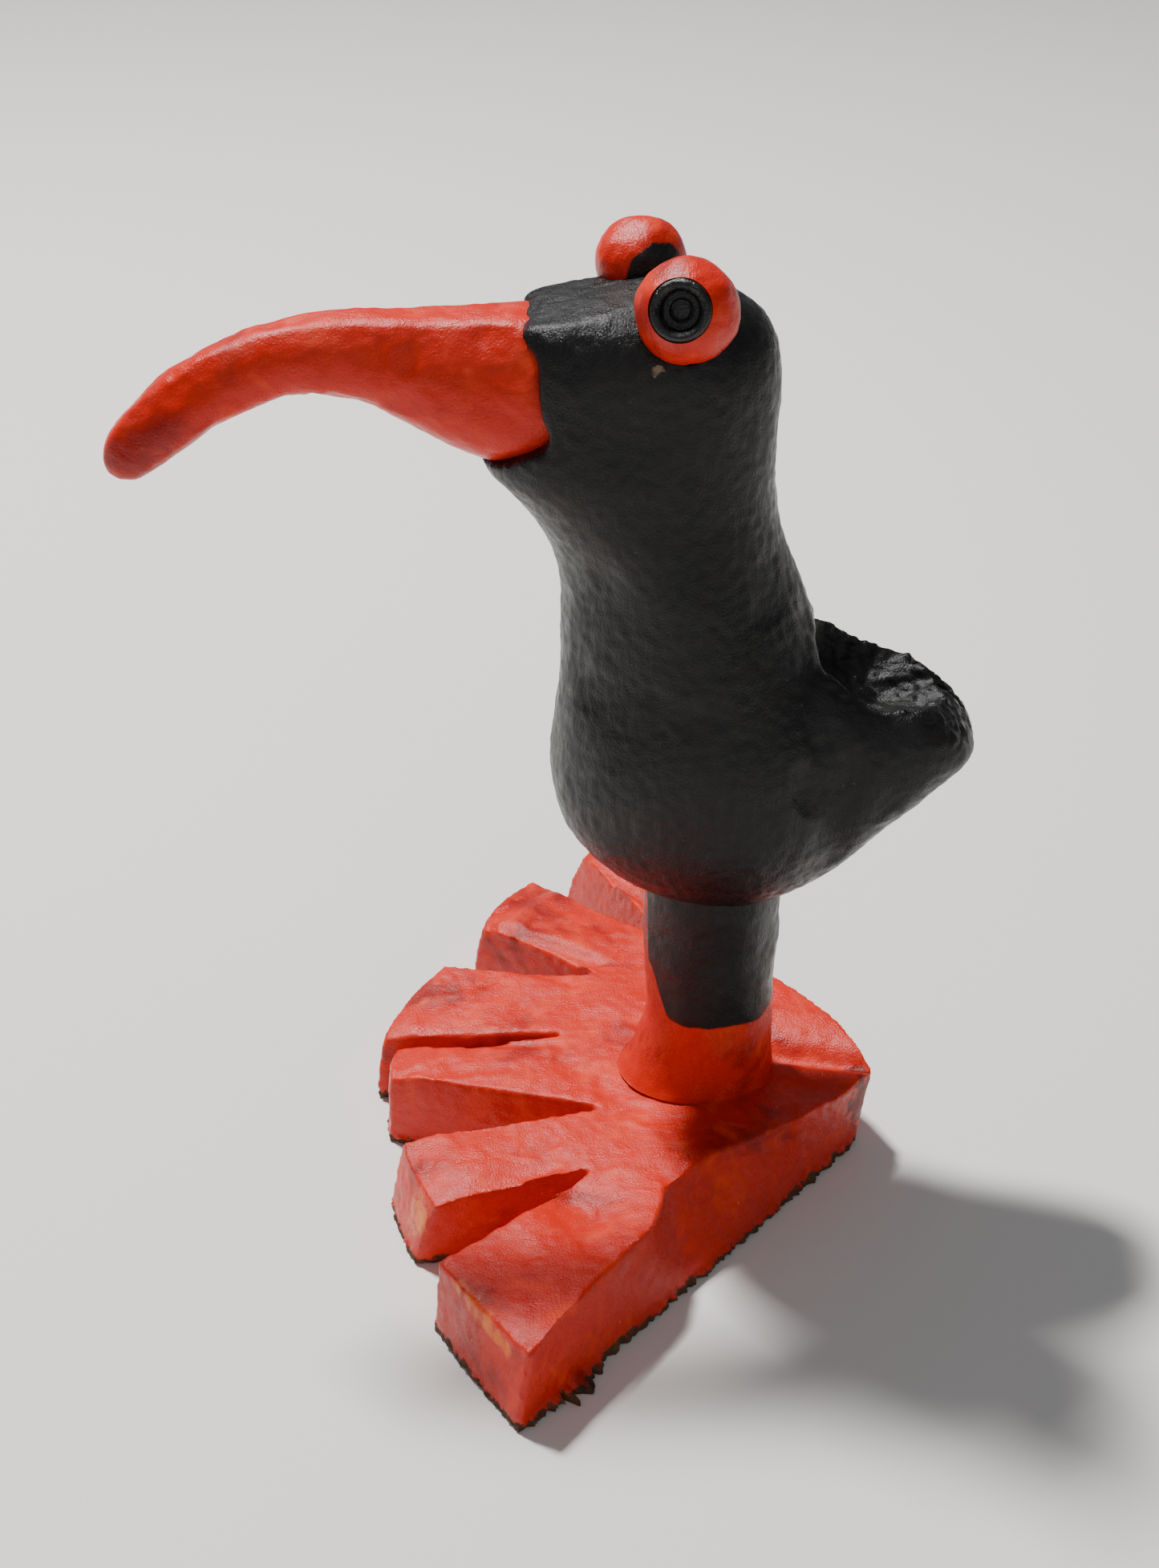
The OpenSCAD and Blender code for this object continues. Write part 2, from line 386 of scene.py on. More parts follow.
def surface(name, build, specular):
    # material from a function that gives its coats
    mat = bpy.data.materials.new(name)
    mat.use_nodes = True
    tree = mat.node_tree
    bsdf = tree.nodes["Principled BSDF"]
    coords = addNode(tree, "TexCoord").outputs["Object"]
    colour, shine, height = build(tree, coords)
    bump = addNode(tree, "Bump", {"Height": height, "Distance": mm, "Strength": 0.8})
    tree.links.new(colour, bsdf.inputs["Base Color"])
    tree.links.new(shine, bsdf.inputs["Roughness"])
    tree.links.new(bump.outputs["Normal"], bsdf.inputs["Normal"])
    bsdf.inputs["Specular IOR Level"].default_value = specular
    print("made material", name)
    return mat


def plainMaterial(name, colour, rough):
    mat = bpy.data.materials.new(name)
    mat.use_nodes = True
    bsdf = mat.node_tree.nodes["Principled BSDF"]
    bsdf.inputs["Base Color"].default_value = (*colour, 1)
    bsdf.inputs["Roughness"].default_value = rough
    return mat


bodyShape = {
    # height over the belly, front, back, half width, fullness of the outline
    "sections": [
        (0, -3.5, 6.5, 3, 1), (1, -7.5, 9.5, 6.5, 1), (2.8, -11.8, 13, 9.6, 1), (6, -16, 16.6, 12.9, 1),
        (10.3, -19.4, 18.8, 15.2, 1), (14.5, -21.2, 19.8, 16.6, 1), (20, -22, 20, 17.2, 1),
        (26.5, -21.6, 18, 16.8, 1.04), (32.5, -20.8, 15.5, 15.9, 1.1), (39, -20.5, 12.6, 14.8, 1.16),
        (45.5, -20.7, 10, 13.9, 1.18), (50.5, -21.7, 8, 13.4, 1.14), (54.5, -23.7, 6.8, 13.1, 1.08),
        (58.8, -26.9, 6, 12.8, 1), (62.1, -30, 6, 12.7, 0.95), (66.5, -31, 6.1, 12.4, 0.9),
        (71.5, -30, 6.3, 12.1, 0.88), (76.5, -29, 5.8, 11.6, 0.85), (80.1, -28.5, 4.2, 10.2, 0.85),
        (82, -27.5, 2.2, 8.4, 0.88), (83.4, -26.5, 0, 6.2, 0.9), (84.2, -25, -2.5, 4.2, 0.9),
        (84.6, -24, -5, 2.6, 0.9)],
    # distance behind the leg, underside, top, half width, fullness
    "tail": [
        (1, 4, 38, 9, 1), (8, 2, 39.5, 11.4, 0.9), (13.5, 3.6, 38, 12.2, 0.82), (17, 7, 35.4, 12.1, 0.78),
        (20, 10.2, 33.8, 11.8, 0.78), (25, 15.2, 33, 11.2, 0.78), (29, 18.7, 29.8, 9.8, 0.8),
        (31.8, 20.9, 26.9, 7.4, 0.84), (33.4, 22.2, 24.6, 3.8, 0.9)],
    "coarseGrain": 0.7,      # spacing of the surface points, first roughly and then finely
    "grain": 0.45,
    # knife facets: how many, radius, depth, seed
    "facets": (70, 5.5, 0.05, 8),
    # size, depth and seed of the slow waves and of the fine ones
    "waves": (9, 0.3, 1),
    "ripples": (1.2, 0.12, 6),
    # the flat top of the head: a point on it, ahead of the leg and over the head, and its fall to the beak
    "crown": {"ahead": 10, "over": 0.7, "slope": -0.2},
    # the cup in the tail: its ball, the gouge marks in it and the fibres left on its floor
    "scoop": {"middle": (0, 21.8, 80.6), "size": (9.8, 10.8, 10.2), "gouges": (2.4, 0.9, 3, (1, 3, 1)),
              "fineGouges": (0.7, 0.4, 5, (1, 2, 1)), "fibres": (0.9, 0.35, 7, (1, 1.6, 1))},
    # knife notches in the end of the tail: place of the tip and its turn
    "notches": [(-6.2, 28.6, 70.2, -30), (-2.6, 31.2, 68.6, -15)],
    # the far rim of the tail cup: how much higher it stands, where its peak is, how long it is
    "farRim": (2.2, 18.5, 5),
    # spots where the paint is off: middle, radius, raggedness, strength
    "chips": [((11.6, -9.1, 120.6), 0.85, 0.5, 0.7), ((15.6, 12.4, 66), 0.45, 0.1, 1.0)],
    "eyePlay": 0.1,          # room around the eye balls and around the leg
    "legPlay": 0.22,
}

# the line where black meets red: distance behind the leg and height, from the top down
paintLine = [(-22.2, 132), (-22.2, 126), (-22.6, 124.9), (-24.6, 123.9), (-24.6, 122.8), (-23, 121),
             (-22.9, 118.6), (-22.6, 115), (-21.6, 111.4), (-24.4, 109.2), (-28.4, 106.9), (-34, 105)]


def bodyCoats(tree, coords):
    layers = coat(tree, coords, blackLook)
    for middle, radius, ragged, strength in bodyShape["chips"]:
        chip = spot(tree, coords, place(*middle), radius, ragged, strength)
        layers = layered(tree, chip, layers, coat(tree, coords, creamLook))
    return layers


def bodyRing(row):
    z, front, back, half, power = row
    mid, deep = (front + back) / 2, (back - front) / 2
    return [place(half * swell(math.cos(a), power), mid + deep * swell(math.sin(a), power), bellyZ + z)
            for a in turns(96)]


def tailRing(row):
    y, low, high, half, power = row
    mid, deep = (low + high) / 2, (high - low) / 2
    return [place(half * swell(math.cos(a), power), y, bellyZ + mid + deep * swell(math.sin(a), power))
            for a in turns(72)]


def ballProfile(radius, rows):
    # radius and height of each ring of a ball
    halves = [math.pi * (k + 0.5) / rows for k in range(rows)]
    return [(radius * math.sin(a), -radius * math.cos(a)) for a in halves]


def ballTool(name, centre, size, rows=48):
    # a ball in millimetres, as a closed cutter
    matrix = Matrix.Translation(place(*centre)) @ Matrix.Diagonal((size[0], size[1], size[2], 1))
    return lathe(name, ballProfile(1, rows), 96, matrix)


def noseTool():
    # everything ahead of the paint line
    outline = [(y, z) for y, z in resample(paintLine, 6)] + [(-60, 105), (-60, 132)]
    return loft("noseTool", [[place(x, y, z) for y, z in outline] for x in (-25, 25)])


def notchTool(x, y, z, turn):
    # a thin knife wedge, its edge downwards
    matrix = Matrix.Translation(place(x, y, z)) @ Matrix.Rotation(math.radians(turn), 4, "Z")
    wedge = [(-0.3, 0), (0.3, 0), (1.8, 6), (-1.3, 6)]
    rings = [[matrix @ Vector((u * mm, v * mm, w * mm)) for u, w in wedge] for v in (-3, 6)]
    return loft("notchTool", rings)


def eyeData(side):
    # centre, radius and look of an eye from the boxes of its ball and ring
    low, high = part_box(side + "_eye_ball")
    ringLow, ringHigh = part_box(side + "_pupil_ring")
    radius = (high.z - low.z) / 2
    x = low.x + radius if side == "left" else high.x - radius
    centre = Vector((x, (low.y + high.y) / 2, (low.z + high.z) / 2))
    look = ((ringLow + ringHigh) / 2 - centre).normalized()
    turn = look.to_track_quat("Z", "Y").to_matrix().to_4x4()
    return centre, radius / mm, Matrix.Translation(centre) @ turn


def raiseFarRim(body):
    rise, peak, run = bodyShape["farRim"]
    for vertex in body.data.vertices:
        x, y, z = away(vertex.co)
        lift = rise * math.exp(-((y - peak) / run) ** 2) * smoothStep(-3, -8, x)
        vertex.co.z += lift * smoothStep(bellyZ + 24, bellyZ + 32, z) * mm


def inScoop(x, y, z):
    # share of the rough floor of the tail cup at a place
    return smoothStep(12, 14, y) * smoothStep(10, 8.5, abs(x)) * smoothStep(68, 70, z)


def makeBody():
    body = loft("body_carving", [bodyRing(row) for row in resample(bodyShape["sections"], 5)])
    join(body, [loft("tail", [tailRing(row) for row in resample(bodyShape["tail"], 5)])])
    modify(body, "REMESH", mode="VOXEL", voxel_size=bodyShape["coarseGrain"] * mm)
    modify(body, "SMOOTH", factor=0.5, iterations=16)
    whittle(body, *bodyShape["facets"])
    raiseFarRim(body)
    crown = bodyShape["crown"]
    flatten(body, place(0, -crown["ahead"], headZ + crown["over"]), (0, crown["slope"], 1))
    roughen(body, *bodyShape["waves"])

    cup = bodyShape["scoop"]
    scoop = ballTool("scoop", cup["middle"], cup["size"])
    roughen(scoop, *cup["gouges"])
    roughen(scoop, *cup["fineGouges"])
    cut(body, scoop)
    for notch in bodyShape["notches"]:
        cut(body, notchTool(*notch))
    cut(body, noseTool())
    modify(body, "REMESH", mode="VOXEL", voxel_size=bodyShape["grain"] * mm)
    modify(body, "SMOOTH", factor=0.5, iterations=3)
    roughen(body, *bodyShape["ripples"])
    roughen(body, *cup["fibres"], where=inScoop)

    for side in ("left", "right"):
        centre, radius, _ = eyeData(side)
        cut(body, ballTool("hollow", away(centre), (radius + bodyShape["eyePlay"],) * 3))
    legHole = legShape["top"] + bodyShape["legPlay"]
    cut(body, lathe("hole", [(legHole, bellyZ - 4), (legHole, legTopZ)], 96))
    finishPiece(body, surface("black_paint", bodyCoats, specular=0.3), "body", 50)


beakShape = {
    # outline of half of a section, as shares of its half width and half height
    "outline": [(0, 1), (0.3, 0.995), (0.5, 0.95), (0.62, 0.83), (0.82, 0.5), (0.97, 0.08), (0.98, -0.35),
                (0.84, -0.72), (0.5, -0.95), (0.2, -1), (0, -1)],
    # y, middle height, half height, half width, slope
    "line": [
        (-18, 114.4, 8.0, 8.6, 0), (-21, 115, 8.7, 8.9, 0), (-25, 115.3, 9.1, 8.9, 0),
        (-30, 115.5, 8.7, 7.9, 2), (-37.5, 117.3, 6.7, 6.3, 8), (-43.8, 118.8, 5.2, 5.3, 4),
        (-50.4, 119.0, 4.5, 4.8, -8), (-56.1, 117.9, 4.3, 4.6, -20), (-62.2, 115.4, 4.2, 4.5, -31),
        (-67.6, 111.8, 4.1, 4.3, -43), (-71.7, 108.1, 3.5, 3.7, -52), (-73.6, 105.8, 2.5, 2.7, -58),
        (-74.4, 104.7, 1.2, 1.4, -62),
    ],
    "drift": 3,              # how far the tip wanders to the bird's left
    "grain": 0.4,
    "facets": (60, 3.5, 0.06, 9),
    "waves": (5, 0.25, 12),
    "ripples": (1.3, 0.08, 13),
}


def beakCoats(tree, coords):
    return coat(tree, coords, redLook, (1, 0.25, 0.6))


def beakRing(row):
    y, z, tall, wide, slope = row
    drift = beakShape["drift"] * ((y + 23) / 50) ** 2
    tilt = math.radians(slope)
    half = resample(beakShape["outline"], 4)
    outline = half + [(-u, v) for u, v in half[-2:0:-1]]
    return [place(drift + wide * u, y + tall * v * math.sin(tilt), z + tall * v * math.cos(tilt))
            for u, v in outline]


def makeBeak():
    beak = loft("beak_carving", [beakRing(row) for row in resample(beakShape["line"], 6)])
    modify(beak, "REMESH", mode="VOXEL", voxel_size=beakShape["grain"] * mm)
    modify(beak, "SMOOTH", factor=0.5, iterations=4)
    whittle(beak, *beakShape["facets"])
    roughen(beak, *beakShape["waves"])
    roughen(beak, *beakShape["ripples"])
    finishPiece(beak, surface("red_paint", beakCoats, specular=0.32), "beak")


eyeShape = {
    "ring": 3.6,             # outer radius of the black ring
    "hole": 2.15,            # radius of the hole inside it
    "deep": 1.15,            # how far the ring's seat lies under the ball's surface at the ring's edge
    "play": 0.08,            # room around the ring
    # size, depth and seed of the roughness of the ball and of the ring
    "waves": (4, 0.35, 21),
    "ripples": (1.1, 0.08, 22),
    "ringRipples": (1.2, 0.08, 30),
    # the ring's rounded lip: how far in from its edge and over the seat; then where the hole starts
    "lip": [(0, 1.05), (0.12, 1.32), (0.42, 1.52), (0.75, 1.5), (1.1, 1.2)],
    "holeEdge": 0.75,
    # the pin from its blunt point to the dish in its head: radius and height over the seat
    "pin": [(0.02, -12), (0.6, -11.6), (1, -10.5), (1, -0.85), (2.1, -0.8), (2.1, -0.55), (1.7, -0.72),
            (1.5, -0.65), (1.4, 0.25), (1.2, 0.4), (0.98, 0.25), (0.85, -0.5), (0.4, -0.7), (0.02, -0.72)],
    # black paint on the inner side of the far ball: offset from its centre, radius
    "patch": ((4.6, 2.0, -0.2), 4.1),
}


def leftEyeCoats(tree, coords):
    return coat(tree, coords, redLook)


def rightEyeCoats(tree, coords):
    centre = eyeData("right")[0]
    offset, radius = eyeShape["patch"]
    patch = spot(tree, coords, centre + Vector(offset) * mm, radius, 0.05)
    return layered(tree, patch, coat(tree, coords, redLook), coat(tree, coords, blackLook))


def pupilCoats(tree, coords):
    return coat(tree, coords, pupilLook)


def makeEyes():
    coats = {"left": leftEyeCoats, "right": rightEyeCoats}
    pupilBlack = surface("pupil_black", pupilCoats, specular=0.5)
    pinMetal = surface("pin_metal", pupilCoats, specular=0.4)
    for side in ("left", "right"):
        _, radius, matrix = eyeData(side)
        outer, hole = eyeShape["ring"], eyeShape["hole"]
        seat = math.sqrt(radius ** 2 - outer ** 2) - eyeShape["deep"]

        ball = lathe(side + "_eye", ballProfile(radius, 64), 128, matrix)
        size, depth, seed = eyeShape["waves"]
        roughen(ball, size, depth, seed + radius)
        roughen(ball, *eyeShape["ripples"])
        play = eyeShape["play"]
        cut(ball, lathe("seat", [(outer + play, seat), (outer + play * 1.5, radius + 3)], 96, matrix))
        cut(ball, lathe("hole", [(hole, seat - 0.9), (hole, seat + 2)], 64, matrix))
        paint = surface(side + "_eye_paint", coats[side], specular=0.34)
        finishPiece(ball, paint, side + "_eye_ball", 45)

        profile = [(hole, seat), (outer, seat)]
        profile += [(outer - inward, seat + up) for inward, up in eyeShape["lip"]]
        profile += [(hole, seat + eyeShape["holeEdge"]), (hole, seat)]
        ring = lathe(side + "_ring", profile, 96, matrix)
        roughen(ring, *eyeShape["ringRipples"])
        finishPiece(ring, pupilBlack, side + "_pupil_ring", 40)

        pin = lathe(side + "_pin", [(r, seat + up) for r, up in eyeShape["pin"]], 64, matrix)
        finishPiece(pin, pinMetal, side + "_eye_pin", 40)


legShape = {
    "top": 9.15,             # radius where it enters the body
    "low": 8.85,             # radius just above the foot
    "flareHeight": 13,
    "flareFront": 3.6,       # extra radius towards the toes
    "flareAll": 0.5,
    "waves": (7, 0.5, 41),
    "ripples": (1.5, 0.12, 42),
    "blackFrom": 25.6,       # height of the lower edge of the black paint
    # the edge climbs: from and to how far behind the leg's axis, and by how much
    "climbs": [(-5.6, -8.7, 7), (-8.6, -9.1, 13), (6, 9, 1)],
}


def legCoats(tree, coords):
    # black above, red below; the edge climbs towards the toes and a little towards the heel
    split = addNode(tree, "SeparateXYZ", {"Vector": coords})
    line = between(tree, grain(tree, coords, 5), 0.3, 0.7, -0.25 * mm, 0.25 * mm)
    for start, end, climb in legShape["climbs"]:
        step = between(tree, split.outputs["Y"], legY + start * mm, legY + end * mm, 0, climb * mm)
        line = sums(tree, line, step)
    level = sums(tree, split.outputs["Z"], line, "SUBTRACT")
    edge = legShape["blackFrom"]
    black = between(tree, level, edge * mm, (edge + 0.3) * mm)
    return layered(tree, black, coat(tree, coords, redLook), coat(tree, coords, blackLook))


def legRadius(z, angle):
    base = blend(legShape["low"], legShape["top"], smoothStep(crownZ, bellyZ, z))
    rise = max(0, 1 - (z - crownZ) / legShape["flareHeight"])
    front = max(0, -math.sin(angle)) ** 1.5
    if z < crownZ - 0.5:
        return base
    if z < crownZ + 0.2:
        rise *= 0.94
    return base + legShape["flareAll"] * rise ** 6 + legShape["flareFront"] * front * rise ** 2.6


def onLeg(x, y, z):
    # only the stretch between the foot and the belly is rough, its ends stay round
    return smoothStep(crownZ - 1.2, crownZ + 0.5, z) * smoothStep(-5, -9, z - bellyZ - 12)


def makeLeg():
    heights = [socketZ, crownZ - 3, crownZ - 2.2, crownZ - 0.02, crownZ + 0.12, crownZ + 0.26]
    heights += [crownZ + 0.5 + k * 0.45 for k in range(int((legTopZ - crownZ) / 0.45))]
    rings = []
    for z in heights:
        ring = []
        for angle in turns(128):
            r = legRadius(z, angle)
            x, y = r * math.cos(angle), r * math.sin(angle)
            # the flare follows the top of the foot
            drop = crownZ * (footTop(x, y) - 1) if z > crownZ - 0.5 else 0
            ring.append(place(x, y, z + drop * (1 - smoothStep(crownZ, crownZ + 8, z))))
        rings.append(ring)
    leg = loft("leg_post", rings)
    roughen(leg, *legShape["waves"], where=onLeg)
    roughen(leg, *legShape["ripples"], where=onLeg)
    finishPiece(leg, surface("leg_paint", legCoats, specular=0.28), "leg", 50)


footShape = {
    # each toe from the bird's left: angles of its sides at the top and at the underside,
    # reach of the top corners, of the bottom ones, how far its left edge is rolled over, bow of its end
    "toes": [
        ((50.4, 34), (50.2, 33.4), (74, 71.5), (76, 72), 0, -0.6),
        ((25, 13), (23.4, 12.4), (66.5, 67), (69, 69), 0.3, -1),
        ((0.5, -6), (0.8, -6.4), (68, 68), (68.6, 69), 0.3, -0.8),
        ((-8, -23), (-7.4, -23.6), (70.4, 67), (71.6, 68), 0.4, -2.2),
        ((-34, -47), (-33.6, -47.5), (68, 71.2), (70, 73), 1.1, -1.8),
        ((-56, -65.5), (-54.8, -65.8), (72.6, 72), (76, 75), 1.2, -1)],
    # end of each groove: angle and distance from the heel, and how far its two walls bow
    "grooves": [(29.4, 44.2, 0.5, -0.6), (14, 38.6, 0.8, 0.3), (-13, 36.5, 0.9, -0.4),
                (-31, 44.6, 1.6, 0.8), (-49, 44.4, 1.4, 0.6)],
    "grooveRun": 3.5,        # how much further out the grooves end at the underside
    # how far the two long walls are hollowed, by the distance from the first toe and from the heel
    "nearWall": [(-5, 0), (8, 0.2), (16, 1.0), (24.7, 3.5), (32.7, 5.6), (38.9, 6.1), (42, 4.2),
                 (46.1, 2.3), (55.6, 1.7), (66, 0.9), (74, -0.3), (90, -1)],
    "farWall": [(0, 0.2), (8, 0.4), (16, 1.8), (25, 3.8), (38, 5), (50, 4), (62, 2.6), (80, 1.6)],
    "wallLean": (2.5, 10),   # the near wall leans in from this height, over this much height
    "toeTilt": [0.2, -0.3, 0.3, -0.4, 0.5, -0.3],   # how much higher one side of each toe stands
    "toeDrop": 0.9,          # how far the tops of the toes fall at their ends
    # a dip in the top: its middle, half widths and depth
    "dip": (31, -17.5, 6, 4.5, 1.1),
    # the crease behind the leg: depth and width, the hollow on its near side, the rise on its far side
    "crease": {"depth": 2.0, "wide": 1.8, "hollow": 0.9, "hollowAt": 7, "hollowWide": 4, "rise": 1.2},
    # the torn wood under the near wall, dark bare wood that is partly a painted contact shadow: how far it
    # sticks out, and its tuft near the first toe
    "torn": {"out": 0.7, "tuft": 2.2, "tuftAt": 9, "tuftWide": 5, "high": 1.6, "deep": 2.5},
    "fall": 0.038,           # how fast the top falls towards the toes
    "grain": 0.45,
    "facets": (200, 4.5, 0.05, 15),
    "waves": (9, 0.35, 51),
    "ripples": (1.5, 0.12, 52),
    "splinters": (0.8, 0.5, 53),
    # the band of dark bare wood along the bottom is partly a painted contact shadow
    "sole": (0.95, 1.35, 0.6),   # bare wood up to here, paint from here, how far the edge wanders
    "legPlay": 0.15,         # room around the leg
    # darker wine-red paint on the heel: middle, radius
    "heelPatch": ((1.5, heelY - 0.5, 8.5), 4.6),
    # thinly stained wood at the ends of the toes: middle of the patch and its radius
    "stains": [((26.2, -41.2, 7.6), 3.4), ((24.6, -42, 4.4), 2.2), ((44.3, -33.4, 11.2), 1.5),
               ((46.2, -32.2, 11), 1.6), ((48.2, -30.9, 10.8), 1.7), ((50.2, -29.6, 10.5), 1.6),
               ((52.2, -28.2, 10.4), 1.5), ((54, -27, 10), 1.4)],
}


def footCoats(tree, coords):
    layers = coat(tree, coords, redLook, (1, 0.35, 0.8))
    middle, radius = footShape["heelPatch"]
    heel = spot(tree, coords, place(*middle), radius, 0.3, 0.9, 1.4)
    layers = layered(tree, heel, layers, coat(tree, coords, wineLook))
    stain = coat(tree, coords, stainLook)
    for middle, radius in footShape["stains"]:
        patch = spot(tree, coords, place(*middle), radius, 0.3, 0.92, 1.1)
        layers = layered(tree, patch, layers, stain)
    # dark bare wood below the paint edge, partly a painted contact shadow along the bottom of the foot
    low, high, wander = footShape["sole"]
    height = addNode(tree, "SeparateXYZ", {"Vector": coords}).outputs["Z"]
    wobble = between(tree, grain(tree, coords, 2.2, 4, 0.7), 0.3, 0.7, -wander * mm, wander * mm)
    sole = between(tree, sums(tree, height, wobble), high * mm, low * mm)
    return layered(tree, sole, layers, coat(tree, coords, soleWoodAndShadowLook, (0.3, 1, 1)))


def polar(reach, angle):
    # place on the plan of the foot, from the heel
    turn = math.radians(angle)
    return Vector((reach * math.sin(turn), heelY - reach * math.cos(turn)))


def footCorners(t):
    # corners of the outline at a share of the height, with the bow of each edge
    back = heelY + blend(-1.4, 0.4, t)
    corners = [(Vector((1.2, back)), 0)]
    toes, grooves = footShape["toes"], footShape["grooves"]
    for i, (sidesTop, sidesLow, top, bottom, _, bow) in enumerate(toes):
        corners.append((polar(blend(bottom[0], top[0], t), blend(sidesLow[0], sidesTop[0], t)), bow))
        right = polar(blend(bottom[1], top[1], t), blend(sidesLow[1], sidesTop[1], t))
        if i < len(grooves):
            angle, reach, bowLeft, bowRight = grooves[i]
            corners.append((right, bowLeft))
            corners.append((polar(reach + footShape["grooveRun"] * (1 - t), angle), bowRight))
        else:
            corners.append((right, 0))
    corners.append((Vector((-1.2, back)), 0))
    return corners


def footRing(z):
    # outline at a height; every height has the same number of points
    corners = footCorners(z / crownZ)
    guide = footCorners(1)
    nearWall, farWall = 0, len(corners) - 2
    ring = []
    for i, (start, bow) in enumerate(corners):
        following = (i + 1) % len(corners)
        end = corners[following][0]
        steps = max(2, int((guide[following][0] - guide[i][0]).length))
        span = (end - start).length
        along = (end - start).normalized()
        inside = Vector((along.y, -along.x))
        for k in range(steps):
            u = k / steps
            point = start.lerp(end, u) + inside * bow * 2 * u * (1 - u)
            if i == nearWall:
                low, run = footShape["wallLean"]
                lean = smoothStep(low, low + run, z) * 0.4 + min(max((z - low) / run, 0), 1.1) * 0.6
                point += inside * lookUp(footShape["nearWall"], u * span) * lean
            if i == farWall:
                lean = smoothStep(1, crownZ, z)
                point += inside * lookUp(footShape["farWall"], (1 - u) * span) * lean
            ring.append(place(point.x, point.y, z))
    return ring


def bell(value, middle, wide):
    return math.exp(-((value - middle) / wide) ** 2)


def footTop(x, y):
    # height of the top of the foot as a share of the crown
    height = crownZ + min(y, 0) * footShape["fall"]
    crease = footShape["crease"]
    behind = smoothStep(4, 9, y)
    across = x + 3.5 - (y - 8) * 0.22
    height -= crease["depth"] * behind * bell(across, 0, crease["wide"])
    height -= crease["hollow"] * behind * bell(across, crease["hollowAt"], crease["hollowWide"])
    height += crease["rise"] * behind * smoothStep(0, -9, across)
    dipX, dipY, wideX, wideY, depth = footShape["dip"]
    height -= depth * bell(x, dipX, wideX) * bell(y, dipY, wideY)

    reach = math.hypot(x, heelY - y)
    angle = math.degrees(math.atan2(x, heelY - y))
    for (sides, _, ends, _, roll, _), tilt in zip(footShape["toes"], footShape["toeTilt"]):
        if sides[1] - 2 < angle < sides[0] + 2:
            middle = (sides[0] + sides[1]) / 2
            height += tilt * (angle - middle) / (sides[0] - sides[1]) * 2 * smoothStep(40, 56, reach)
            edge = reach * math.sin(math.radians(sides[0] - angle))
            height -= roll * (1 - smoothStep(0, 2.4, edge)) * smoothStep(42, 50, reach)
            height -= footShape["toeDrop"] * smoothStep(-4.5, 0.5, reach - ends[0])
    return height / crownZ


def aboveSole(x, y, z):
    return smoothStep(0.4, 2, z)


def nearSole(x, y, z):
    return smoothStep(2, 0.9, z) * smoothStep(0, 0.2, z)


def tearWood(foot):
    # splintered bare wood that sticks out under the near wall; its dark colour is partly a painted contact
    # shadow
    torn = footShape["torn"]
    firstToe = footShape["toes"][0]
    corner = polar(firstToe[3][0], firstToe[1][0])
    wall = Vector((1.2, heelY)) - corner
    along = wall.normalized()
    outward = Vector((along.y, -along.x))
    for vertex in foot.data.vertices:
        x, y, z = away(vertex.co)
        way = Vector((x, y)) - corner
        run = way.dot(along)
        depth = way.dot(outward)
        if z > torn["high"] or depth < -torn["deep"] or run < 0 or run > wall.length:
            continue
        reach = torn["out"] + torn["tuft"] * bell(run, torn["tuftAt"], torn["tuftWide"])
        reach *= 0.6 + 1.1 * noise.noise(Vector((run / 0.9, z / 2, 7.3)))
        reach *= smoothStep(torn["high"], 0.7, z) * smoothStep(-torn["deep"], -0.5, depth)
        reach *= smoothStep(0, 3, run) * smoothStep(wall.length, wall.length - 5, run)
        vertex.co.x += outward.x * reach * mm
        vertex.co.y += outward.y * reach * mm


def makeFoot():
    levels = [0, 0.8, 2, 3.5, 5.5, 7.5, 9.5, 11.5, crownZ]
    foot = loft("foot_carving", [footRing(z) for z in levels])
    modify(foot, "REMESH", mode="VOXEL", voxel_size=footShape["grain"] * mm)
    for vertex in foot.data.vertices:
        x, y, z = away(vertex.co)
        vertex.co.z *= blend(1, footTop(x, y), smoothStep(4, crownZ, z))
    modify(foot, "SMOOTH", factor=0.5, iterations=4)
    whittle(foot, *footShape["facets"], onTop=True)
    roughen(foot, *footShape["waves"], where=aboveSole)
    roughen(foot, *footShape["ripples"], where=aboveSole)
    roughen(foot, *footShape["splinters"], stretch=(1, 1, 0.4), where=nearSole)
    tearWood(foot)
    for vertex in foot.data.vertices:
        vertex.co.z = max(vertex.co.z, 0)
    hole = legShape["low"] + footShape["legPlay"]
    cut(foot, lathe("hole", [(hole, socketZ), (hole, crownZ + 5)], 96))
    finishPiece(foot, surface("foot_paint", footCoats, specular=0.32), "foot", 55)


makeBody()
makeBeak()
makeEyes()
makeLeg()
makeFoot()

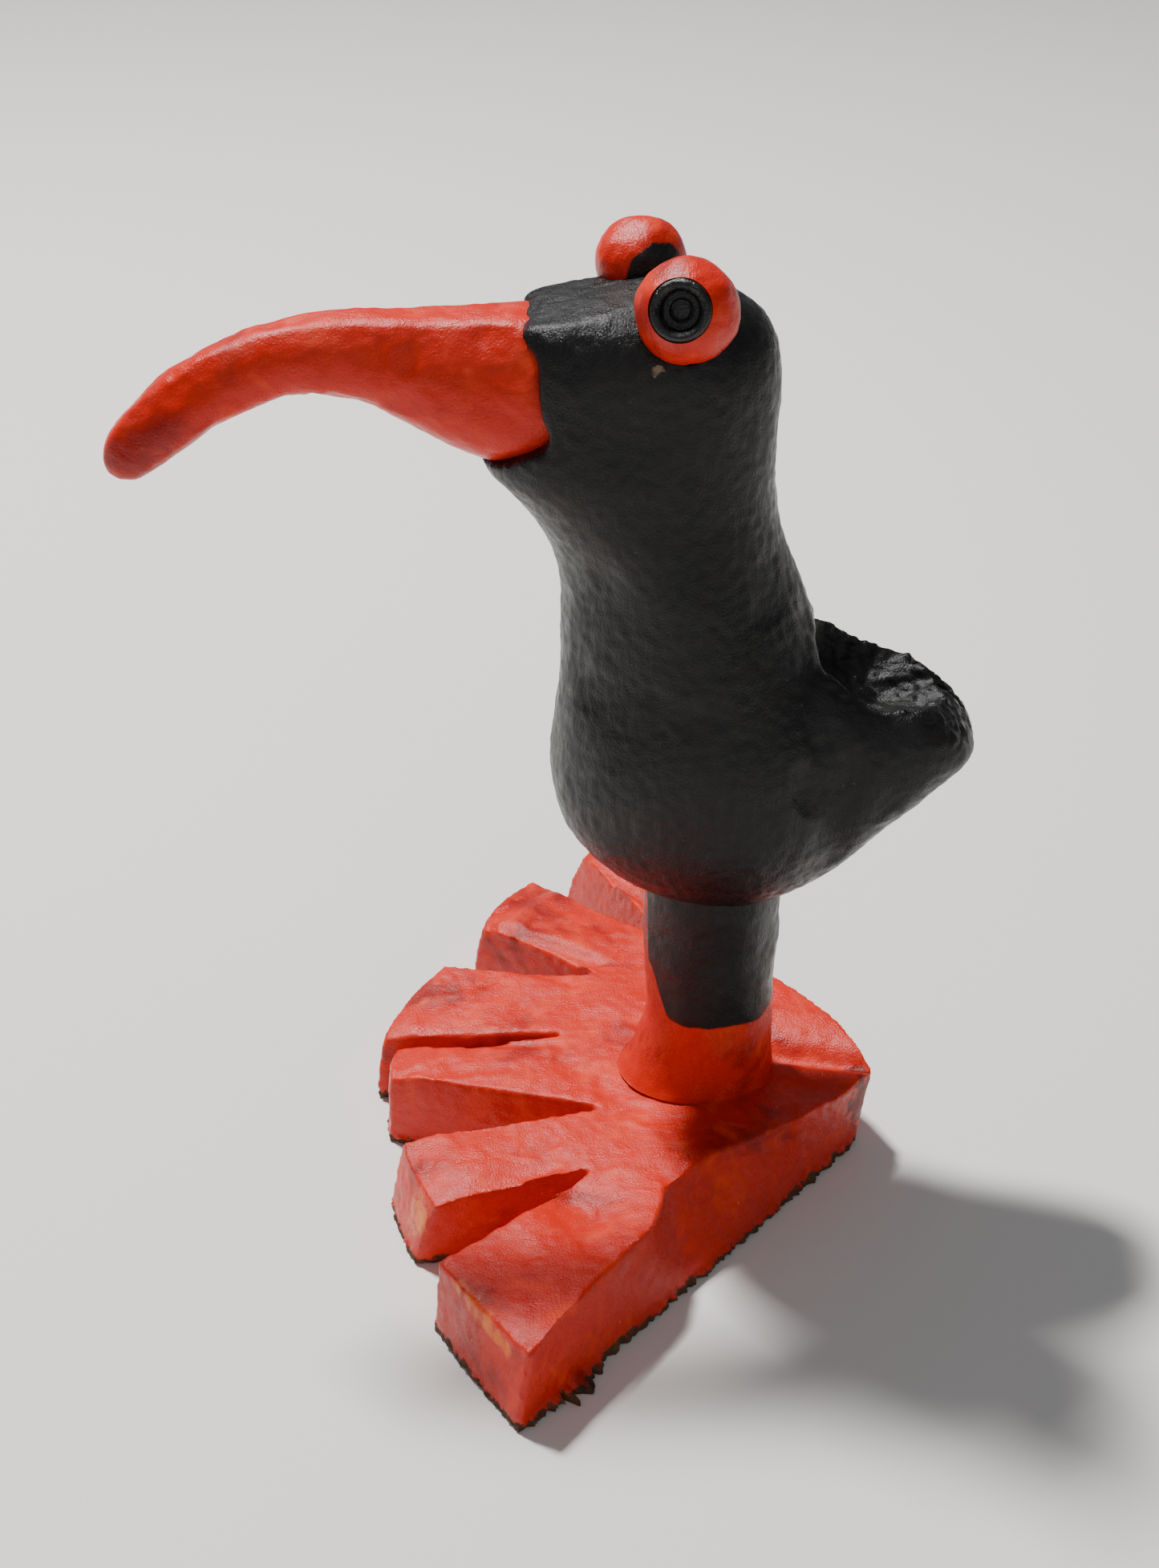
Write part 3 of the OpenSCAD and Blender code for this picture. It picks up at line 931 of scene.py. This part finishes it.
# the camera looks at a point ahead of the leg, from the bird's left
view = {"aimAhead": 18.1, "aimHeight": 59.2, "distance": 312.5, "elevation": 30, "lens": 54.14,
        "sensor": 36}


def makeCamera():
    data = bpy.data.cameras.new("camera")
    data.lens = view["lens"]
    data.sensor_width = view["sensor"]
    data.clip_start = 0.01
    camera = bpy.data.objects.new("camera", data)
    bpy.context.scene.collection.objects.link(camera)
    tilt = math.radians(view["elevation"])
    aim = place(0, -view["aimAhead"], view["aimHeight"])
    camera.location = aim + Vector((math.cos(tilt), 0, math.sin(tilt))) * view["distance"] * mm
    camera.rotation_euler = (math.radians(90) - tilt, 0, math.radians(90))
    return camera


bpy.context.scene.camera = makeCamera()
print("camera placed")

# pale studio floor, one small high light, one large soft one and a dim sky; sizes in metres
studio = {
    "floor": {"half": 3, "height": -0.00002, "colour": (0.78, 0.76, 0.72), "rough": 0.7},
    "key": {"spot": (-0.36, -0.34, 0.98), "size": 0.12, "power": 21},
    "fill": {"spot": (0.75, 0.1, 0.45), "size": 0.6, "power": 1},
    "aim": (0, 0, 0.06),
    "sky": ((0.9, 0.93, 1, 1), 0.21),
}


def makeFloor():
    plan = studio["floor"]
    half, height = plan["half"], plan["height"]
    corners = [(-half, -half, height), (half, -half, height), (half, half, height), (-half, half, height)]
    floor = meshObject("floor", corners, [(0, 1, 2, 3)])
    floor.data.materials.append(plainMaterial("paleFloor", plan["colour"], plan["rough"]))


def softbox(name):
    plan = studio[name]
    light = bpy.data.lights.new(name, "AREA")
    light.size = plan["size"]
    light.energy = plan["power"]
    lamp = bpy.data.objects.new(name, light)
    lamp.location = plan["spot"]
    ray = Vector(studio["aim"]) - Vector(plan["spot"])
    lamp.rotation_euler = ray.to_track_quat("-Z", "Y").to_euler()
    bpy.context.scene.collection.objects.link(lamp)


def makeSky():
    colour, strength = studio["sky"]
    world = bpy.data.worlds.new("world")
    bpy.context.scene.world = world
    world.use_nodes = True
    backdrop = world.node_tree.nodes["Background"]
    backdrop.inputs["Color"].default_value = colour
    backdrop.inputs["Strength"].default_value = strength


makeFloor()
softbox("key")
softbox("fill")
makeSky()
print("floor and lights placed")
